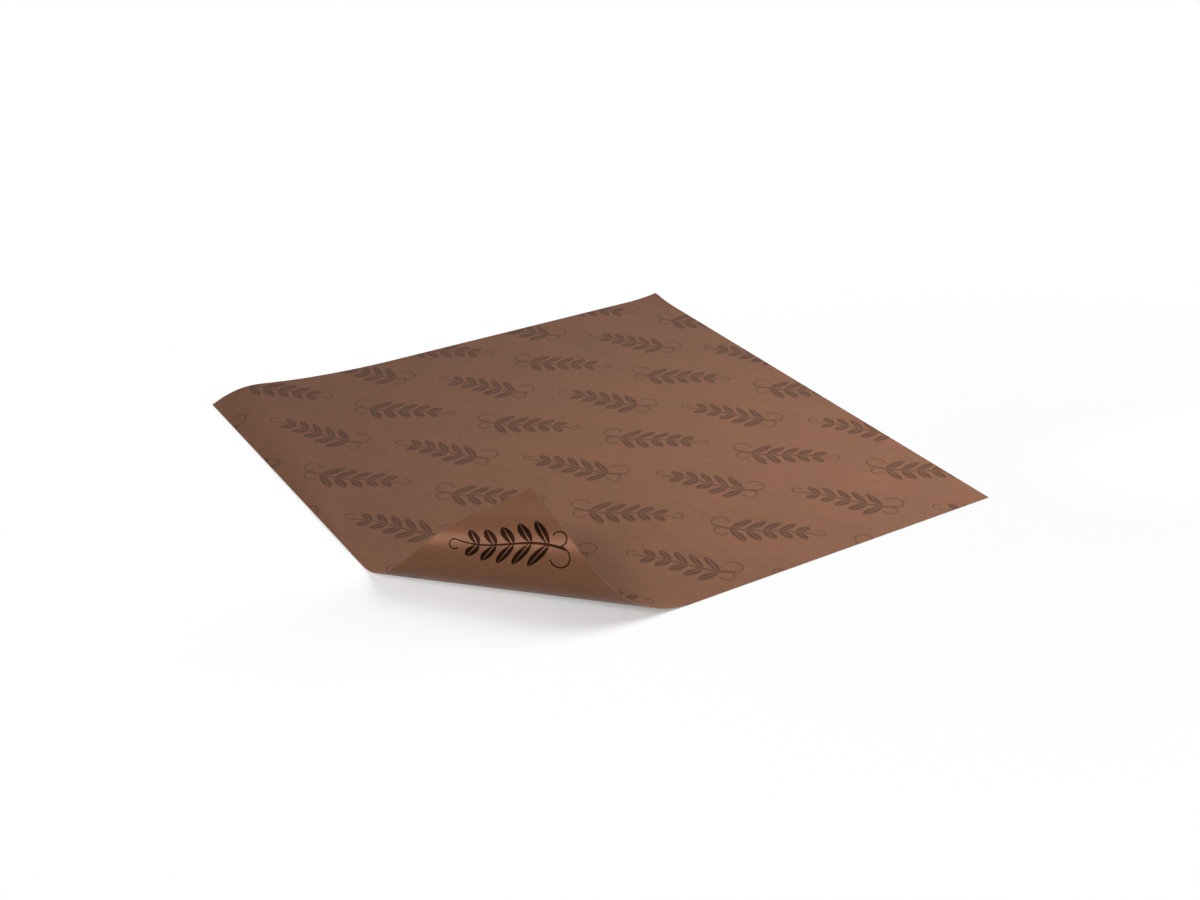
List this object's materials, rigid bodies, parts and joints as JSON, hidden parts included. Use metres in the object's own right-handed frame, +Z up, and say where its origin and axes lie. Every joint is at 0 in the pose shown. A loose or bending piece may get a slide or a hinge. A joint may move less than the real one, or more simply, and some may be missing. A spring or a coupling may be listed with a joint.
{
  "type": "non-stick dehydrator sheet",
  "caption": "Thin square non-stick sheet of coated glass cloth that lines a dehydrator tray, lying flat with its front corner curled over.",
  "frame": {"origin": "on the floor under the middle of the sheet, at the bottom centre of its bounding box", "axes": "+Z up, +X and +Y along the sheet's edges; the curled front corner lies towards -X -Y, and the left corner towards -X +Y"},
  "size_m": [0.3556, 0.3556, 0.0536],
  "materials": {
    "non_stick_coat": "brown non-stick coat with a satin sheen",
    "glass_cloth": "fine plain-woven glass cloth, seen only at the cut edges"
  },
  "bodies": {
    "main_panel": {"main_panel_lower_coat": "non_stick_coat", "main_panel_cloth": "glass_cloth", "main_panel_upper_coat": "non_stick_coat"},
    "front_strip_1": {"front_strip_1_lower_coat": "non_stick_coat", "front_strip_1_cloth": "glass_cloth", "front_strip_1_upper_coat": "non_stick_coat"},
    "front_strip_2": {"front_strip_2_lower_coat": "non_stick_coat", "front_strip_2_cloth": "glass_cloth", "front_strip_2_upper_coat": "non_stick_coat"},
    "front_strip_3": {"front_strip_3_lower_coat": "non_stick_coat", "front_strip_3_cloth": "glass_cloth", "front_strip_3_upper_coat": "non_stick_coat"},
    "front_strip_4": {"front_strip_4_lower_coat": "non_stick_coat", "front_strip_4_cloth": "glass_cloth", "front_strip_4_upper_coat": "non_stick_coat"},
    "front_strip_5": {"front_strip_5_lower_coat": "non_stick_coat", "front_strip_5_cloth": "glass_cloth", "front_strip_5_upper_coat": "non_stick_coat"},
    "front_strip_6": {"front_strip_6_lower_coat": "non_stick_coat", "front_strip_6_cloth": "glass_cloth", "front_strip_6_upper_coat": "non_stick_coat"},
    "front_strip_7": {"front_strip_7_lower_coat": "non_stick_coat", "front_strip_7_cloth": "glass_cloth", "front_strip_7_upper_coat": "non_stick_coat"},
    "front_strip_8": {"front_strip_8_lower_coat": "non_stick_coat", "front_strip_8_cloth": "glass_cloth", "front_strip_8_upper_coat": "non_stick_coat"},
    "front_strip_9": {"front_strip_9_lower_coat": "non_stick_coat", "front_strip_9_cloth": "glass_cloth", "front_strip_9_upper_coat": "non_stick_coat"},
    "left_strip_1": {"left_strip_1_lower_coat": "non_stick_coat", "left_strip_1_cloth": "glass_cloth", "left_strip_1_upper_coat": "non_stick_coat"},
    "left_strip_2": {"left_strip_2_lower_coat": "non_stick_coat", "left_strip_2_cloth": "glass_cloth", "left_strip_2_upper_coat": "non_stick_coat"},
    "left_strip_3": {"left_strip_3_lower_coat": "non_stick_coat", "left_strip_3_cloth": "glass_cloth", "left_strip_3_upper_coat": "non_stick_coat"},
    "left_strip_4": {"left_strip_4_lower_coat": "non_stick_coat", "left_strip_4_cloth": "glass_cloth", "left_strip_4_upper_coat": "non_stick_coat"},
    "left_strip_5": {"left_strip_5_lower_coat": "non_stick_coat", "left_strip_5_cloth": "glass_cloth", "left_strip_5_upper_coat": "non_stick_coat"},
    "back_strip_1": {"back_strip_1_lower_coat": "non_stick_coat", "back_strip_1_cloth": "glass_cloth", "back_strip_1_upper_coat": "non_stick_coat"},
    "back_strip_2": {"back_strip_2_lower_coat": "non_stick_coat", "back_strip_2_cloth": "glass_cloth", "back_strip_2_upper_coat": "non_stick_coat"}
  },
  "joints": [
    {"name": "front_bend_1", "type": "hinge", "parent": "main_panel", "child": "front_strip_1", "pos_m": [-0.11291, -0.11779, 0.00007], "axis": [-0.7238, 0.69, 0], "range_deg": [-21.2, 6], "stiffness_Nm_per_rad": 0.01},
    {"name": "front_bend_2", "type": "hinge", "parent": "front_strip_1", "child": "front_strip_2", "pos_m": [-0.1187, -0.12402, 0.00337], "axis": [-0.709, 0.7052, -0.0083], "range_deg": [-21.2, 6], "stiffness_Nm_per_rad": 0.0089},
    {"name": "front_bend_3", "type": "hinge", "parent": "front_strip_2", "child": "front_strip_3", "pos_m": [-0.12327, -0.12898, 0.00952], "axis": [-0.6968, 0.7169, -0.0237], "range_deg": [-21.2, 6], "stiffness_Nm_per_rad": 0.0078},
    {"name": "front_bend_4", "type": "hinge", "parent": "front_strip_3", "child": "front_strip_4", "pos_m": [-0.12595, -0.13204, 0.01769], "axis": [-0.689, 0.7234, -0.0441], "range_deg": [-21.2, 6], "stiffness_Nm_per_rad": 0.0068},
    {"name": "front_bend_5", "type": "hinge", "parent": "front_strip_4", "child": "front_strip_5", "pos_m": [-0.12632, -0.13285, 0.02677], "axis": [-0.6866, 0.724, -0.0668], "range_deg": [-21.2, 6], "stiffness_Nm_per_rad": 0.0058},
    {"name": "front_bend_6", "type": "hinge", "parent": "front_strip_5", "child": "front_strip_6", "pos_m": [-0.12427, -0.13139, 0.03554], "axis": [-0.69, 0.7184, -0.0887], "range_deg": [-21.2, 6], "stiffness_Nm_per_rad": 0.0049},
    {"name": "front_bend_7", "type": "hinge", "parent": "front_strip_6", "child": "front_strip_7", "pos_m": [-0.11998, -0.12796, 0.04283], "axis": [-0.6986, 0.7075, -0.1068], "range_deg": [-21.2, 6], "stiffness_Nm_per_rad": 0.004},
    {"name": "front_bend_8", "type": "hinge", "parent": "front_strip_7", "child": "front_strip_8", "pos_m": [-0.11392, -0.12315, 0.04766], "axis": [-0.7114, 0.6927, -0.1187], "range_deg": [-21.2, 6], "stiffness_Nm_per_rad": 0.0031},
    {"name": "front_bend_9", "type": "hinge", "parent": "front_strip_8", "child": "front_strip_9", "pos_m": [-0.10196, -0.11412, 0.05062], "axis": [0.7365, -0.6647, 0.1253], "range_deg": [-10.5, 2.97], "stiffness_Nm_per_rad": 0.001},
    {"name": "left_bend_1", "type": "hinge", "parent": "main_panel", "child": "left_strip_1", "pos_m": [-0.1788, -0.0401, 0.00007], "axis": [0.4539, 0.891, 0], "range_deg": [-4.1, 0], "stiffness_Nm_per_rad": 0.08},
    {"name": "left_bend_2", "type": "hinge", "parent": "left_strip_1", "child": "left_strip_2", "pos_m": [-0.1788, -0.0401, 0.00007], "axis": [0.2903, 0.9569, 0.0126], "range_deg": [-4.1, 0], "stiffness_Nm_per_rad": 0.08},
    {"name": "left_bend_3", "type": "hinge", "parent": "left_strip_2", "child": "left_strip_3", "pos_m": [-0.1788, -0.0401, 0.00007], "axis": [-0.1427, -0.9892, -0.034], "range_deg": [-11.12, 0], "stiffness_Nm_per_rad": 0.005},
    {"name": "left_bend_4", "type": "hinge", "parent": "left_strip_3", "child": "left_strip_4", "pos_m": [-0.1788, -0.0401, 0.00007], "axis": [-0.0978, -0.9947, -0.0314], "range_deg": [-11.12, 0], "stiffness_Nm_per_rad": 0.005},
    {"name": "left_bend_5", "type": "hinge", "parent": "left_strip_4", "child": "left_strip_5", "pos_m": [-0.1788, -0.0401, 0.00007], "axis": [-0.0538, -0.9984, -0.0201], "range_deg": [-11.12, 0], "stiffness_Nm_per_rad": 0.005},
    {"name": "back_bend_1", "type": "hinge", "parent": "main_panel", "child": "back_strip_1", "pos_m": [0.1578, 0.1778, 0.00007], "axis": [0.7071, -0.7071, 0], "range_deg": [-5.5, 25], "stiffness_Nm_per_rad": 0.001},
    {"name": "back_bend_2", "type": "hinge", "parent": "back_strip_1", "child": "back_strip_2", "pos_m": [0.16778, 0.17778, 0.00075], "axis": [0.7071, -0.7071, 0], "range_deg": [-5.5, 25], "stiffness_Nm_per_rad": 0.0005}
  ],
  "couplings": [
    {"joint": "front_bend_2", "follows": "front_bend_1", "ratio": 1},
    {"joint": "front_bend_3", "follows": "front_bend_1", "ratio": 1},
    {"joint": "front_bend_4", "follows": "front_bend_1", "ratio": 1},
    {"joint": "front_bend_5", "follows": "front_bend_1", "ratio": 1},
    {"joint": "front_bend_6", "follows": "front_bend_1", "ratio": 1},
    {"joint": "front_bend_7", "follows": "front_bend_1", "ratio": 1},
    {"joint": "front_bend_8", "follows": "front_bend_1", "ratio": 1},
    {"joint": "front_bend_9", "follows": "front_bend_1", "ratio": 0.49528},
    {"joint": "left_bend_2", "follows": "left_bend_1", "ratio": 1},
    {"joint": "left_bend_3", "follows": "left_bend_1", "ratio": 2.7125},
    {"joint": "left_bend_4", "follows": "left_bend_1", "ratio": 2.7125},
    {"joint": "left_bend_5", "follows": "left_bend_1", "ratio": 2.7125},
    {"joint": "back_bend_2", "follows": "back_bend_1", "ratio": 1}
  ]
}
